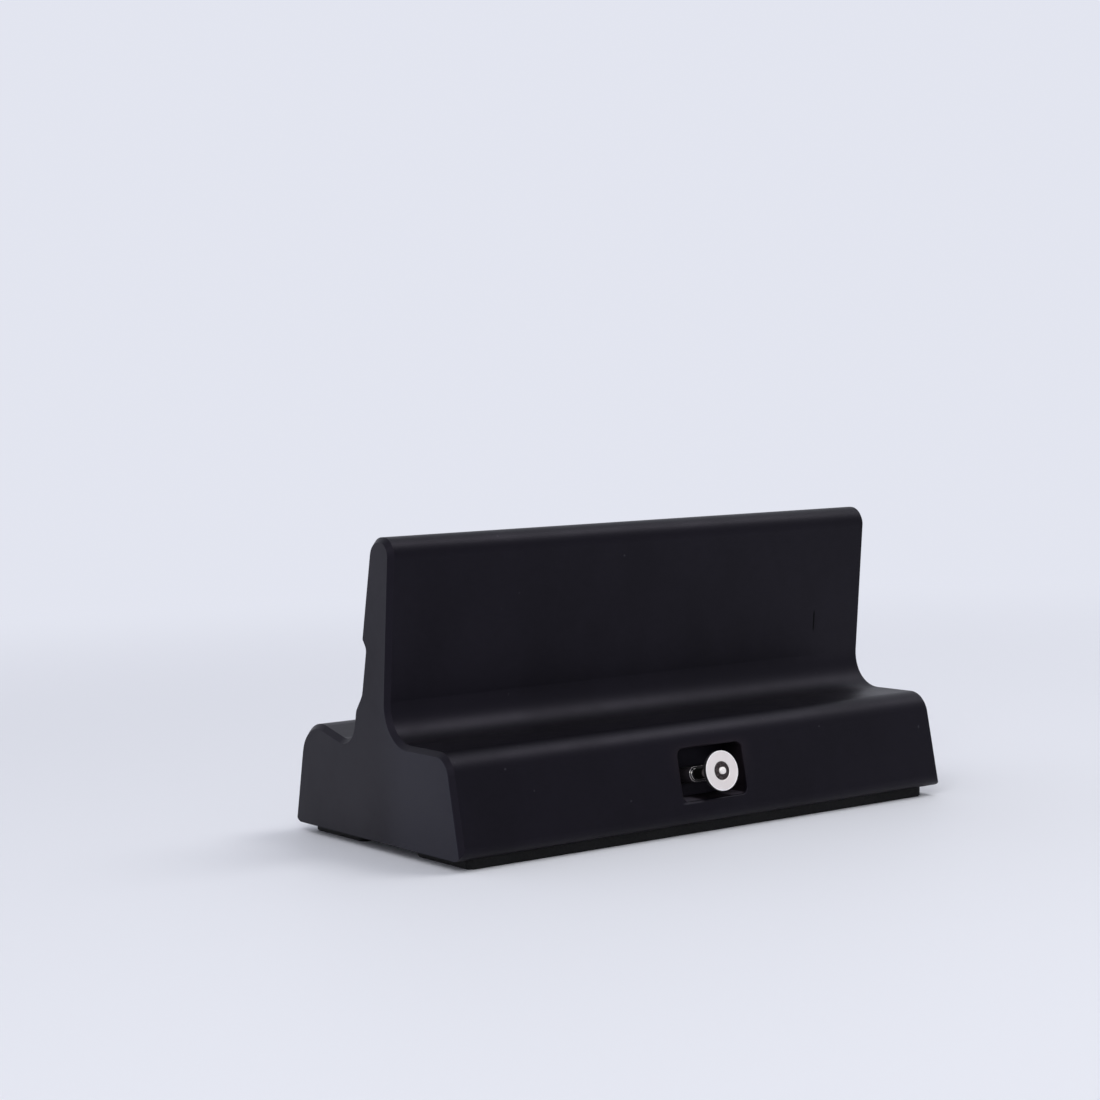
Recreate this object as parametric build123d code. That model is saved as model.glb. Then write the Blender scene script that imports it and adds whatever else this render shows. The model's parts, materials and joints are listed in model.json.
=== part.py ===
from build123d import *
import os
from math import cos, radians, sin

# Charging dock for a handheld device: a hollow moulded base with a leaning upright, a cradle
# groove along its front, a power inlet in a recess at the back, and a round contact tip in the
# inlet. Sizes are in millimetres and degrees. X runs along the dock, Y from the cradle to the
# back, Z up from the floor.

# Body
length = 118.0
base_depth = 61.3
overall_height = 59.3
shelf_height = 21.2
front_draft = 13.6
rear_draft = 10.9
upright_lean = 6.4
bottom_radius = 2.2
lip_radius = 7.5
shelf_edge_radius = 4.7
upright_root_radius = 6.7
top_rear_radius = 3.5
top_front_radius = 4.0
end_edge_chamfer = 0.95

# Cradle: the seat is square to the rest, and both lean together; its corner lies behind the
# bottom front edge, and the upright's back meets the shelf behind that corner
lip_reach = 23.22
cradle_corner_height = 19.4
upright_root_depth = 12.95
rest_lean = 13.4
cradle_radius = 4.1

# Shallow relief along the rest, measured up the rest from the cradle corner
relief_depth = 1.65
relief_start = 7.4
relief_ramp = 3.5
relief_floor = 8.6
relief_step = 1.4
relief_foot_radius = 3.0
relief_inner_radius = 0.9
relief_brow_radius = 1.4

# Moulded walls and ribs
wall = 2.0
upright_wall = 1.8
upright_cap = 12.9
core_radius = 0.6
inner_root_radius = 2.5
rib_gauge = 1.2
rib_count = 6
base_rib_drop = 6.0

# Bottom cover, foot strips and cover screws
cover_gauge = 2.0
cover_gap = 0.15
cover_edge_chamfer = 0.4
foot_height = 1.95
strip_width = 18.6
strip_edge_inset = 2.5
strip_end_inset = 3.1
strip_corner_radius = 1.5
strip_edge_chamfer = 0.2
cover_screw_inset = 12.0
boss_diameter = 6.0
screw_head_diameter = 4.0
screw_head_height = 1.2
screw_shank_diameter = 2.2
screw_length = 8.0
screw_gap = 0.15

# Rear recess and power inlet, square to the sloping back face
inlet_axis_height = 11.5
recess_width = 15.75
recess_height = 9.95
recess_corner_radius = 1.4
recess_depth = 6.25
recess_wall = 1.6
recess_mouth_radius = 0.35
inlet_mouth_depth = 1.7
inlet_width = 8.94
inlet_thickness = 3.06
inlet_gauge = 0.25
inlet_gap = 0.15
inlet_base_height = 1.5
tongue_width = 6.7
tongue_thickness = 0.7
tongue_setback = 1.0

# Oval plugs: one on the contact tip and one that stands in the cradle
plug_width = 8.25
plug_thickness = 2.4
plug_gauge = 0.2
plug_nose_chamfer = 0.15
plug_slot_gap = 0.12
plug_slot_depth = 3.9
plug_fit = 0.02
contact_count = 12
contact_pitch = 0.5
contact_width = 0.26
contact_gauge = 0.16
contact_stand = 0.06
contact_setback = 0.5

# Contact tip
tip_reach = 2.85
tip_diameter = 7.75
tip_ring_gauge = 0.8
tip_ring_chamfer = 0.14
tip_eye_diameter = 3.45
tip_eye_gap = 0.05
tip_eye_sink = 0.1
tip_pin_diameter = 1.4
tip_pin_stand = 0.4
tip_pin_chamfer = 0.3
tip_hub_diameter = 5.8
tip_hub_height = 0.5
tip_neck_length = 3.1
tip_neck_width = 7.0
tip_neck_thickness = 1.9
tip_plug_length = 4.6

# Plug that stands in the cradle
cradle_plug_offset = 7.0
cradle_plug_reach = 6.4
collar_width = 12.0
collar_depth = 5.6
collar_stand = 0.6
collar_flange = 0.8
collar_flange_gauge = 1.0
collar_gap = 0.1
collar_chamfer = 0.4

# Boards, their screws and the ribbon between them
board_gauge = 1.0
board_gap = 0.4
inlet_board_width = 29.0
inlet_board_height = 9.6
inlet_boss_gap = 0.4
board_boss_diameter = 4.2
board_screw_head_diameter = 3.2
board_screw_head_height = 1.0
board_screw_shank_diameter = 1.6
board_screw_length = 4.5
plug_board_depth = 4.6
plug_board_width = 30.0
plug_board_length = 10.0
plug_boss_offset = 11.5
support_gauge = 1.6
support_length = 7.0
support_offset = 7.0
support_gap = 0.1
chip_size = 3.0
chip_height = 0.9
resistor_length = 1.6
resistor_width = 0.8
resistor_height = 0.5
chip_offset = 6.4
chip_spacing = 2.2
socket_width = 9.0
socket_depth = 2.4
socket_height = 1.8
inlet_socket_rise = 2.6
plug_socket_offset = 2.4
ribbon_width = 7.0
ribbon_gauge = 0.3
ribbon_straight = 4.0
ribbon_low_height = 5.6
ribbon_radius = 1.8

# Size of the blocks that only trim other shapes
reach = 2 * (length + base_depth + overall_height)

cradle_corner_y = lip_reach - base_depth / 2
upright_foot_y = cradle_corner_y + upright_root_depth
cover_top = foot_height + cover_gauge
board_face_depth = recess_depth + recess_wall + board_gap


# Lines of the section, each a point in the Y, Z plane and a direction
def leaning(y, z, lean):
    """A line through a point, leaning back from upright by an angle."""
    return Vector(y, z), Vector(sin(radians(lean)), cos(radians(lean)))


def level(z):
    """A level line at a height."""
    return Vector(0, z), Vector(1, 0)


def beside(line, distance):
    """The same line moved to the right of its direction."""
    point, way = line
    return point + Vector(way.Y, -way.X) * distance, way


def crossing(first, second):
    """The point where two lines cross."""
    (p, d), (q, e) = first, second
    along = ((q.X - p.X) * e.Y - (q.Y - p.Y) * e.X) / (d.X * e.Y - d.Y * e.X)
    return p + d * along


def section(points, radii):
    """A face in the Y, Z plane with rounded corners."""
    outline = Plane.YZ * FilletPolyline(*points, radius=radii, close=True)
    return make_face(outline)


def bar(face, size):
    """A face of the section carried along X, half to each side."""
    return extrude(face, size / 2, both=True)


def oval(width, thickness, low, high):
    """A round-ended prism along its own Z, between two levels."""
    return Pos(0, 0, low) * extrude(SlotOverall(width, thickness), high - low)


def post(diameter, low, high):
    """A round post along its own Z, between two levels."""
    return Pos(0, 0, low) * extrude(Circle(diameter / 2), high - low)


def block(width, depth, low, high):
    """A rectangular prism along its own Z, between two levels."""
    return Pos(0, 0, low) * extrude(Rectangle(width, depth), high - low)


def screw(head_diameter, head_height, shank_diameter, shank_length):
    """A pan screw that points up, with a cross in its head, from the head's top at zero."""
    head = post(head_diameter, 0, head_height)
    shank = post(shank_diameter, head_height, head_height + shank_length - shank_diameter / 2)
    point = Pos(0, 0, head_height + shank_length - shank_diameter / 4) * Cone(
        shank_diameter / 2, shank_diameter / 4, shank_diameter / 2
    )
    arm = block(head_diameter * 0.6, head_diameter * 0.16, 0, head_height / 2)
    return head + shank + point - arm - Rot(0, 0, 90) * arm


front = leaning(-base_depth / 2, foot_height, front_draft)
back = leaning(base_depth / 2, foot_height, -rear_draft)
upright_back = leaning(upright_foot_y, shelf_height, upright_lean)
rest = leaning(cradle_corner_y, cradle_corner_height, rest_lean)
seat = leaning(cradle_corner_y, cradle_corner_height, rest_lean - 90)
relief = beside(rest, relief_depth)


def up_rest(line, distance):
    """A point on the rest, or on a line beside it, up from the cradle corner."""
    point, way = line
    return point + way * distance


# The inlet's own plane lies on the back face, with its Z square out of it, and the plug's own
# plane lies on the seat, with its Z along the rest
inlet_point = crossing(back, level(inlet_axis_height))
inlet_out = (0, cos(radians(rear_draft)), sin(radians(rear_draft)))
inlet_plane = Plane((0, inlet_point.X, inlet_point.Y), (-1, 0, 0), inlet_out)
inlet = inlet_plane.location
plug_point = up_rest(seat, cradle_plug_offset)
plug_up = (0, sin(radians(rest_lean)), cos(radians(rest_lean)))
plug_plane = Plane((0, plug_point.X, plug_point.Y), (1, 0, 0), plug_up)
cradle_plug = plug_plane.location

inlet_boss_x = recess_width / 2 + recess_wall + inlet_boss_gap + board_boss_diameter / 2
cover_screw_x = length / 2 - cover_screw_inset
strip_y = base_depth / 2 - strip_edge_inset - strip_width / 2
cover_screw_places = GridLocations(2 * cover_screw_x, 2 * strip_y, 2, 2)


def make_outer_body():
    """The dock's outside, solid, with its ends bevelled all round but for their lower edge."""
    relief_foot = relief_start + relief_ramp
    relief_head = relief_foot + relief_floor
    below = level(foot_height - 2 * end_edge_chamfer)
    points = [
        crossing(front, below),
        crossing(back, below),
        crossing(back, level(shelf_height)),
        crossing(upright_back, level(shelf_height)),
        crossing(upright_back, level(overall_height)),
        crossing(rest, level(overall_height)),
        up_rest(rest, relief_head + relief_step),
        up_rest(relief, relief_head),
        up_rest(relief, relief_foot),
        up_rest(rest, relief_start),
        crossing(rest, seat),
        crossing(seat, front),
    ]
    radii = [
        0,
        0,
        shelf_edge_radius,
        upright_root_radius,
        top_rear_radius,
        top_front_radius,
        relief_brow_radius,
        relief_inner_radius,
        relief_foot_radius,
        relief_foot_radius,
        cradle_radius,
        lip_radius,
    ]
    body = bar(section(points, radii), length)
    ends = body.faces().sort_by(Axis.X)
    body = chamfer(ends[0].edges() + ends[-1].edges(), end_edge_chamfer)
    body -= block(reach, reach, -reach, foot_height)
    underside = body.faces().sort_by(Axis.Z)[0]
    return fillet(underside.edges().filter_by(Axis.X), bottom_radius)


def make_cavity():
    """The space inside the walls, open below and cored up into the upright."""
    front_in = beside(front, wall)
    back_in = beside(back, -wall)
    upright_in = beside(upright_back, -upright_wall)
    rest_in = beside(relief, upright_wall)
    seat_in = beside(seat, -wall)
    core_top = level(overall_height - upright_cap)
    ceiling = level(shelf_height - wall)
    points = [
        crossing(front_in, level(0)),
        crossing(back_in, level(0)),
        crossing(back_in, ceiling),
        crossing(upright_in, ceiling),
        crossing(upright_in, core_top),
        crossing(rest_in, core_top),
        crossing(rest_in, seat_in),
        crossing(seat_in, front_in),
    ]
    radii = [
        0,
        0,
        shelf_edge_radius - wall,
        inner_root_radius,
        core_radius,
        core_radius,
        inner_root_radius,
        lip_radius - wall,
    ]
    return bar(section(points, radii), length - 2 * wall)


def recess_prism(margin, depth):
    """The recess's rounded outline carried in from the back face to a depth, or its outer wall."""
    mouth = RectangleRounded(
        recess_width + 2 * margin, recess_height + 2 * margin, recess_corner_radius + margin
    )
    through = Pos(0, 0, inlet_axis_height) * Rot(90, 0, 0) * extrude(mouth, reach, both=True)
    return through & (inlet * block(reach, reach, -depth, reach))


def make_upper_shell():
    """The moulded shell: outside, walls, ribs, bosses, recess and the seat's slot."""
    cavity = make_cavity()
    shell = make_outer_body() - cavity

    # Ribs across the base hang from its ceiling, and the same ribs tie the upright's two walls
    pitch = (length - 2 * wall) / (rib_count + 1)
    rib = block(rib_gauge, reach, shelf_height - wall - base_rib_drop, overall_height)
    ribs = [place * rib for place in GridLocations(pitch, 0, rib_count, 1)]
    plug_room = cradle_plug * block(plug_board_width + 2 * wall, reach, -reach, 0)
    inlet_room = inlet * block(inlet_board_width + 2 * wall, inlet_board_height + 2 * wall, -reach, 0)
    ribs = [rib - plug_room - inlet_room for rib in ribs]

    cover_bosses = [place * post(boss_diameter, cover_top, overall_height) for place in cover_screw_places]
    inlet_bosses = [
        inlet * Pos(side * inlet_boss_x, 0) * post(board_boss_diameter, -board_face_depth, 0)
        for side in (-1, 1)
    ]
    plug_bosses = [
        cradle_plug * Pos(side * plug_boss_offset, 0) * post(board_boss_diameter, -plug_board_depth, 0)
        for side in (-1, 1)
    ]
    well = recess_prism(recess_wall, recess_depth + recess_wall)
    inside = ribs + cover_bosses + inlet_bosses + plug_bosses + [well]
    for piece in inside:
        shell += piece & cavity

    shell -= recess_prism(0, recess_depth)
    shell -= inlet * oval(
        inlet_width + 2 * inlet_gap, inlet_thickness + 2 * inlet_gap, -board_face_depth, 0
    )
    shell -= cradle_plug * oval(
        collar_width + 2 * collar_gap, collar_depth + 2 * collar_gap, -plug_board_depth, wall
    )
    for place in cover_screw_places:
        shell -= place * post(screw_shank_diameter + 2 * screw_gap, 0, cover_top + screw_length)
    pilot = post(board_screw_shank_diameter + 2 * screw_gap, 0, board_screw_length)
    for side in (-1, 1):
        shell -= inlet * Pos(side * inlet_boss_x, 0, -board_face_depth) * pilot
        shell -= cradle_plug * Pos(side * plug_boss_offset, 0, -plug_board_depth) * pilot
    return round_recess_mouth(shell)


def round_recess_mouth(shell):
    """Softens the recess's edge where it breaks through the back face."""
    def on_mouth(edge):
        centre = inlet_plane.to_local_coords(edge.center())
        return (
            abs(centre.Z) < 1e-3
            and abs(centre.X) < recess_width / 2 + 1e-3
            and abs(centre.Y) < recess_height
            and edge.length < 2 * recess_width
        )

    return fillet(shell.edges().filter_by(on_mouth), recess_mouth_radius)


def make_bottom_cover():
    """The flat cover that closes the base, with screw seats and two ribs under the plug's board."""
    inset = wall + cover_gap
    points = [
        crossing(beside(front, inset), level(foot_height)),
        crossing(beside(back, -inset), level(foot_height)),
        crossing(beside(back, -inset), level(cover_top)),
        crossing(beside(front, inset), level(cover_top)),
    ]
    plate = bar(section(points, [0, 0, 0, 0]), length - 2 * inset)
    underside = plate.faces().sort_by(Axis.Z)[0]
    cover = chamfer(underside.edges(), cover_edge_chamfer)
    head_room = post(screw_head_diameter + 2 * screw_gap, 0, foot_height + screw_head_height)
    shank_room = post(screw_shank_diameter + 2 * screw_gap, 0, cover_top)
    for place in cover_screw_places:
        cover -= place * head_room
        cover -= place * shank_room
    above = block(reach, reach, cover_top - cover_gauge / 2, reach)
    under_board = -plug_board_depth - board_gauge - support_gap
    for side in (-1, 1):
        support = cradle_plug * Pos(side * support_offset, 0) * block(
            support_gauge, support_length, -reach, under_board
        )
        cover += support & above
    return cover


def make_foot_strip(side):
    """A flat rubber strip along one long edge of the underside."""
    outline = RectangleRounded(length - 2 * strip_end_inset, strip_width, strip_corner_radius)
    strip = Pos(0, side * strip_y) * extrude(outline, foot_height)
    return chamfer(strip.faces().sort_by(Axis.Z)[0].edges(), strip_edge_chamfer)


def contact_strips(inner, outer, low, high):
    """Two facing rows of flat contacts, between two distances from the middle plane."""
    strip = Pos(0, (inner + outer) / 2) * block(contact_width, outer - inner, low, high)
    row = [place * strip for place in GridLocations(contact_pitch, 0, contact_count, 1)]
    return row + [Rot(0, 0, 180) * strip for strip in row]


def make_plug(root, tip):
    """Shell, insert and contacts of an oval plug that points up between two levels."""
    hollow_width = plug_width - 2 * plug_gauge
    hollow_thickness = plug_thickness - 2 * plug_gauge
    shell = oval(plug_width, plug_thickness, root, tip)
    shell = chamfer(shell.edges().group_by(Axis.Z)[-1], plug_nose_chamfer)
    shell -= oval(hollow_width, hollow_thickness, root, tip)
    slot_half = tongue_thickness / 2 + plug_slot_gap
    slot_floor = tip - plug_slot_depth
    insert = oval(hollow_width - 2 * plug_fit, hollow_thickness - 2 * plug_fit, root, tip - plug_gauge)
    insert -= block(tongue_width + 2 * plug_slot_gap, 2 * slot_half, slot_floor, tip)
    contact_face = slot_half - contact_stand
    contacts = contact_strips(
        contact_face, contact_face + contact_gauge, slot_floor, tip - plug_gauge - contact_setback
    )
    insert -= contacts
    return shell, insert, contacts


def make_inlet():
    """Shell, tongue and contacts of the power inlet, in the inlet's own plane."""
    floor = -board_face_depth
    hollow_width = inlet_width - 2 * inlet_gauge
    hollow_thickness = inlet_thickness - 2 * inlet_gauge
    shell = oval(inlet_width, inlet_thickness, floor, -inlet_mouth_depth)
    shell -= oval(hollow_width, hollow_thickness, floor, -inlet_mouth_depth)
    blade_end = -inlet_mouth_depth - tongue_setback
    base_top = floor + inlet_base_height
    tongue = oval(hollow_width - 2 * plug_fit, hollow_thickness - 2 * plug_fit, floor, base_top)
    tongue += block(tongue_width, tongue_thickness, floor, blade_end)
    half = tongue_thickness / 2
    contacts = contact_strips(half - contact_gauge / 2, half, base_top, blade_end - contact_setback)
    tongue -= contacts
    return shell, tongue, contacts


def make_tip_head():
    """Ring, eye, centre pin and body of the contact tip, in the inlet's own plane."""
    seat_level = tip_reach - tip_ring_gauge
    ring = post(tip_diameter, seat_level, tip_reach)
    ring -= post(tip_eye_diameter + 2 * tip_eye_gap, seat_level, tip_reach)
    ring = chamfer(ring.edges().group_by(Axis.Z)[-1], tip_ring_chamfer)
    eye = post(tip_eye_diameter, seat_level, tip_reach - tip_eye_sink)
    eye -= post(tip_pin_diameter + 2 * tip_eye_gap, seat_level, tip_reach)
    pin = post(tip_pin_diameter, seat_level, tip_reach + tip_pin_stand)
    pin = chamfer(pin.edges().group_by(Axis.Z)[-1], tip_pin_chamfer)
    neck_low = seat_level - tip_hub_height - tip_neck_length
    body = post(tip_hub_diameter, seat_level - tip_hub_height, seat_level)
    body += oval(tip_neck_width, tip_neck_thickness, neck_low, seat_level - tip_hub_height)
    return ring, eye, pin, body, neck_low


def make_collar():
    """The soft collar round the cradle's plug, flanged under the seat."""
    collar = oval(collar_width, collar_depth, -wall - collar_flange_gauge, collar_stand)
    collar = chamfer(collar.edges().group_by(Axis.Z)[-1], collar_chamfer)
    collar += oval(
        collar_width + 2 * collar_flange,
        collar_depth + 2 * collar_flange,
        -wall - collar_flange_gauge,
        -wall,
    )
    hole_width = plug_width + 2 * collar_gap
    hole_thickness = plug_thickness + 2 * collar_gap
    return collar - oval(hole_width, hole_thickness, -plug_board_depth, collar_stand)


def make_board(width, depth, hole_offset):
    """A small board below the zero level of its own plane, with two screw holes."""
    board = block(width, depth, -board_gauge, 0)
    hole = post(board_screw_shank_diameter + 2 * screw_gap, -board_gauge, 0)
    for side in (-1, 1):
        board -= Pos(side * hole_offset, 0) * hole
    return board


def make_board_screws(offset):
    """Two screws that come up through a board from under it."""
    piece = screw(
        board_screw_head_diameter,
        board_screw_head_height,
        board_screw_shank_diameter,
        board_screw_length,
    )
    drop = Pos(0, 0, -board_gauge - board_screw_head_height)
    return [Pos(side * offset, 0) * drop * piece for side in (-1, 1)]


def make_chips():
    """The parts on the inlet board's inner face: a guard chip and three resistors."""
    chip = Pos(-chip_offset, 0) * block(chip_size, chip_size, -board_gauge - chip_height, -board_gauge)
    resistor = block(resistor_length, resistor_width, -board_gauge - resistor_height, -board_gauge)
    row = [Pos(chip_offset, 0) * place * resistor for place in GridLocations(0, chip_spacing, 1, 3)]
    return [chip] + row


def make_socket():
    """A ribbon socket on the under side of a board, with the ribbon's slot in one long side."""
    low = -board_gauge - socket_height
    body = block(socket_width, socket_depth, low, -board_gauge)
    slot = Pos(0, socket_depth / 2, low + socket_height / 2) * Box(
        ribbon_width + 2 * plug_slot_gap, socket_depth, ribbon_gauge + 2 * plug_slot_gap
    )
    return body - slot


def make_ribbon(plug_socket, inlet_socket):
    """The flat ribbon, from one socket's slot down past the cover to the other's."""
    middle = -board_gauge - socket_height / 2
    start = (plug_socket * Pos(0, 0, middle)).position
    leave = (plug_socket * Pos(0, socket_depth / 2 + ribbon_straight, middle)).position
    end = (inlet_socket * Pos(0, 0, middle)).position
    below = crossing(
        (Vector(end.Y, end.Z), Vector(inlet_plane.y_dir.Y, inlet_plane.y_dir.Z)),
        level(ribbon_low_height),
    )
    path = FilletPolyline(start, leave, (0, below.X, below.Y), end, radius=ribbon_radius)
    start_plane = Plane(start, (1, 0, 0), path % 0)
    return sweep(start_plane * Rectangle(ribbon_width, ribbon_gauge), path)


def placed(location, pieces):
    """A list of pieces, each moved from its own plane to its place."""
    return [location * piece for piece in pieces]


# Planes of the two boards: the level zero of each board lies on its bosses
inlet_board_place = inlet * Pos(0, 0, -board_face_depth)
plug_board_place = cradle_plug * Pos(0, 0, -plug_board_depth)
inlet_socket_place = inlet_board_place * Pos(0, inlet_socket_rise) * Rot(0, 0, 180)
plug_socket_place = plug_board_place * Pos(0, plug_socket_offset)

cover_screw = Pos(0, 0, foot_height) * screw(
    screw_head_diameter, screw_head_height, screw_shank_diameter, screw_length
)
inlet_shell, inlet_tongue, inlet_contacts = make_inlet()
tip_ring, tip_eye, tip_pin, tip_body, tip_neck_low = make_tip_head()
tip_shell, tip_insert, tip_contacts = make_plug(-tip_neck_low, tip_plug_length - tip_neck_low)
tip_plug_place = inlet * Rot(180, 0, 0)
plug_shell, plug_insert, plug_contacts = make_plug(-plug_board_depth, cradle_plug_reach)

nodes = {
    "upper_shell": [make_upper_shell()],
    "bottom_cover": [make_bottom_cover()],
    "front_foot_strip": [make_foot_strip(-1)],
    "rear_foot_strip": [make_foot_strip(1)],
    "cover_screws": [place * cover_screw for place in cover_screw_places],
    "inlet_board": [inlet_board_place * make_board(inlet_board_width, inlet_board_height, inlet_boss_x)],
    "inlet_board_screws": placed(inlet_board_place, make_board_screws(inlet_boss_x)),
    "inlet_board_chips": placed(inlet_board_place, make_chips()),
    "inlet_shell": [inlet * inlet_shell],
    "inlet_tongue": [inlet * inlet_tongue],
    "inlet_contacts": placed(inlet, inlet_contacts),
    "tip_ring": [inlet * tip_ring],
    "tip_eye": [inlet * tip_eye],
    "tip_centre_pin": [inlet * tip_pin],
    "tip_body": [inlet * tip_body],
    "tip_plug_shell": [tip_plug_place * tip_shell],
    "tip_plug_insert": [tip_plug_place * tip_insert],
    "tip_plug_contacts": placed(tip_plug_place, tip_contacts),
    "cradle_plug_shell": [cradle_plug * plug_shell],
    "cradle_plug_insert": [cradle_plug * plug_insert],
    "cradle_plug_contacts": placed(cradle_plug, plug_contacts),
    "cradle_plug_collar": [cradle_plug * make_collar()],
    "plug_board": [plug_board_place * make_board(plug_board_width, plug_board_length, plug_boss_offset)],
    "plug_board_screws": placed(plug_board_place, make_board_screws(plug_boss_offset)),
    "ribbon_sockets": [plug_socket_place * make_socket(), inlet_socket_place * make_socket()],
    "link_ribbon": [make_ribbon(plug_socket_place, inlet_socket_place)],
}

# The origin is on the floor, under the middle of the box round the shell and the tip
front_reach = nodes["upper_shell"][0].bounding_box().min.Y
rear_reach = nodes["tip_ring"][0].bounding_box().max.Y
to_origin = Pos(0, -(front_reach + rear_reach) / 2, 0)

os.makedirs("parts", exist_ok=True)
for name, pieces in nodes.items():
    solids = [solid for piece in pieces for solid in (to_origin * piece).solids()]
    shape = solids[0] if len(solids) == 1 else Compound(children=solids)
    export_step(shape, f"parts/{name}.step")
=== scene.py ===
"""Looks of a charging dock for a handheld device: finishes, fine trim, studio light and camera."""
import json
import logging
import math
from dataclasses import dataclass, field
from enum import Enum
from typing import Optional, Sequence, Union

import bpy
import numpy as np
from mathutils import Matrix, Vector


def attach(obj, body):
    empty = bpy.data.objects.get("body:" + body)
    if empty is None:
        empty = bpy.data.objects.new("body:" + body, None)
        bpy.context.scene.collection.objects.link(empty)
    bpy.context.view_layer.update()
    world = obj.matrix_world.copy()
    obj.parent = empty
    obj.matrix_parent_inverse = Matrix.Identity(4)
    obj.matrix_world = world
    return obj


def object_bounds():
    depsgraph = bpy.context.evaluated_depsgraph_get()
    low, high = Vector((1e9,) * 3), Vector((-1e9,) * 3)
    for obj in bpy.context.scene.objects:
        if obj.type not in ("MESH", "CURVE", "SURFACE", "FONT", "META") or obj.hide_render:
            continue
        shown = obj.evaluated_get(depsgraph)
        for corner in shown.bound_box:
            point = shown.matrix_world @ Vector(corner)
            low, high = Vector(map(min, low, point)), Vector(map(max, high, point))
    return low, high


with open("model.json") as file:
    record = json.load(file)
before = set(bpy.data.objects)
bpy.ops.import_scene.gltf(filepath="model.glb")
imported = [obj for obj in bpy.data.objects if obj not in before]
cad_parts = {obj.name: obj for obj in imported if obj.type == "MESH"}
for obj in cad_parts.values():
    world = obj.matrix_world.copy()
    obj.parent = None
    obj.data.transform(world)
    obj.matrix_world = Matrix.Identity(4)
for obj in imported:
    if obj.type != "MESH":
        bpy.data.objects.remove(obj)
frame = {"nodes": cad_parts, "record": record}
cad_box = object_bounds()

log = logging.getLogger("dock")
Colour = tuple[float, float, float]
Place = tuple[float, float, float]
Band = tuple[float, float]
Socket = bpy.types.NodeSocket
MM = 0.001
BLACK: Colour = (0.0, 0.0, 0.0)


class Slot(Enum):
    """Material slots of the record, one for each kind of added trim."""

    NICKEL = "connector_nickel"
    DISC = "tip_satin_nickel"
    PIN = "pin_bright"


def mm(x: float, y: float, z: float) -> Place:
    """Takes a reach from millimetres to metres."""
    return (x * MM, y * MM, z * MM)


def beside(anchor: Sequence[float], x: float, y: float, z: float) -> Place:
    """A place that lies some millimetres along X, Y and Z from an anchor in the row frame."""
    return (anchor[0] + x * MM, anchor[1] + y * MM, anchor[2] + z * MM)


def tip_frame() -> Matrix:
    """Frame of the contact tip: its face's middle as origin, its axis as Z, the dock's length as X.

    Returns:
        A 4 by 4 matrix from the tip's own frame to the row frame.
    """
    mount = next(m for m in frame["record"]["mounts"] if m["name"] == "contact_tip")
    out = Vector(mount["axis"]).normalized()
    along = Vector((1.0, 0.0, 0.0))
    across = out.cross(along)
    turn = Matrix((along, across, out)).transposed().to_4x4()
    return Matrix.Translation(Vector(mount["pos_m"])) @ turn


# Shader nodes

class NodeKit:
    """A node tree, with short calls that add the nodes that the finishes and the world share."""

    MIX_FACTOR, MIX_FIRST, MIX_SECOND, MIX_RESULT = 0, 6, 7, 2

    def __init__(self, tree: bpy.types.NodeTree) -> None:
        """Takes the tree to which nodes are added."""
        self.tree = tree

    def node(self, kind: str, **values: object) -> bpy.types.Node:
        """Adds a node and sets its properties.

        Args:
            kind: the node's type name without its ShaderNode prefix.
            values: properties of the node.

        Returns:
            The new node.
        """
        made = self.tree.nodes.new(f"ShaderNode{kind}")
        for key, value in values.items():
            setattr(made, key, value)
        return made

    def link(self, source: Socket, target: Socket) -> None:
        """Joins two sockets."""
        self.tree.links.new(source, target)

    def feed(self, target: Socket, value: Union[Socket, Colour, float]) -> None:
        """Links a socket to a target, or sets the target to a colour or a number."""
        if isinstance(value, Socket):
            self.link(value, target)
        else:
            target.default_value = (*value, 1.0) if isinstance(value, tuple) else value

    def math(self, kind: str, first: Union[Socket, float], second: Union[Socket, float] = 0.0) -> Socket:
        """One step of arithmetic on two sockets or numbers."""
        made = self.node("Math", operation=kind)
        self.feed(made.inputs[0], first)
        self.feed(made.inputs[1], second)
        return made.outputs[0]

    def length(self, vector: Socket) -> Socket:
        """Length of a vector."""
        made = self.node("VectorMath", operation="LENGTH")
        self.link(vector, made.inputs[0])
        return made.outputs["Value"]

    def spread(self, value: Socket, to: Band = (0.0, 1.0), band: Band = (0.3, 0.7)) -> Socket:
        """Maps a value smoothly from a band to a range, held outside the band.

        Args:
            value: the value.
            to: results at the band's start and end.
            band: start and end of the band.

        Returns:
            The result's socket.
        """
        made = self.node("MapRange", interpolation_type="SMOOTHSTEP")
        ends = zip(("From Min", "From Max", "To Min", "To Max"), (*band, *to))
        for key, end in ends:
            made.inputs[key].default_value = end
        self.link(value, made.inputs["Value"])
        return made.outputs["Result"]

    def mix(self, factor: Socket, first: Union[Socket, Colour], second: Colour) -> Socket:
        """A colour that turns from a first to a second, by a factor."""
        made = self.node("Mix", data_type="RGBA")
        self.feed(made.inputs[self.MIX_FACTOR], factor)
        self.feed(made.inputs[self.MIX_FIRST], first)
        self.feed(made.inputs[self.MIX_SECOND], second)
        return made.outputs[self.MIX_RESULT]

    def join(self, factor: Socket, first: bpy.types.Node, second: bpy.types.Node, output: str) -> None:
        """Mixes two surfaces by a factor and makes the mix the tree's surface.

        Args:
            factor: 0 for the first and 1 for the second.
            first: a node whose first output is a surface.
            second: another such node.
            output: name of the tree's output node.
        """
        mixed = self.node("MixShader")
        for target, source in zip(mixed.inputs, (factor, first.outputs[0], second.outputs[0])):
            self.link(source, target)
        self.link(mixed.outputs[0], self.tree.nodes[output].inputs["Surface"])


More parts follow.
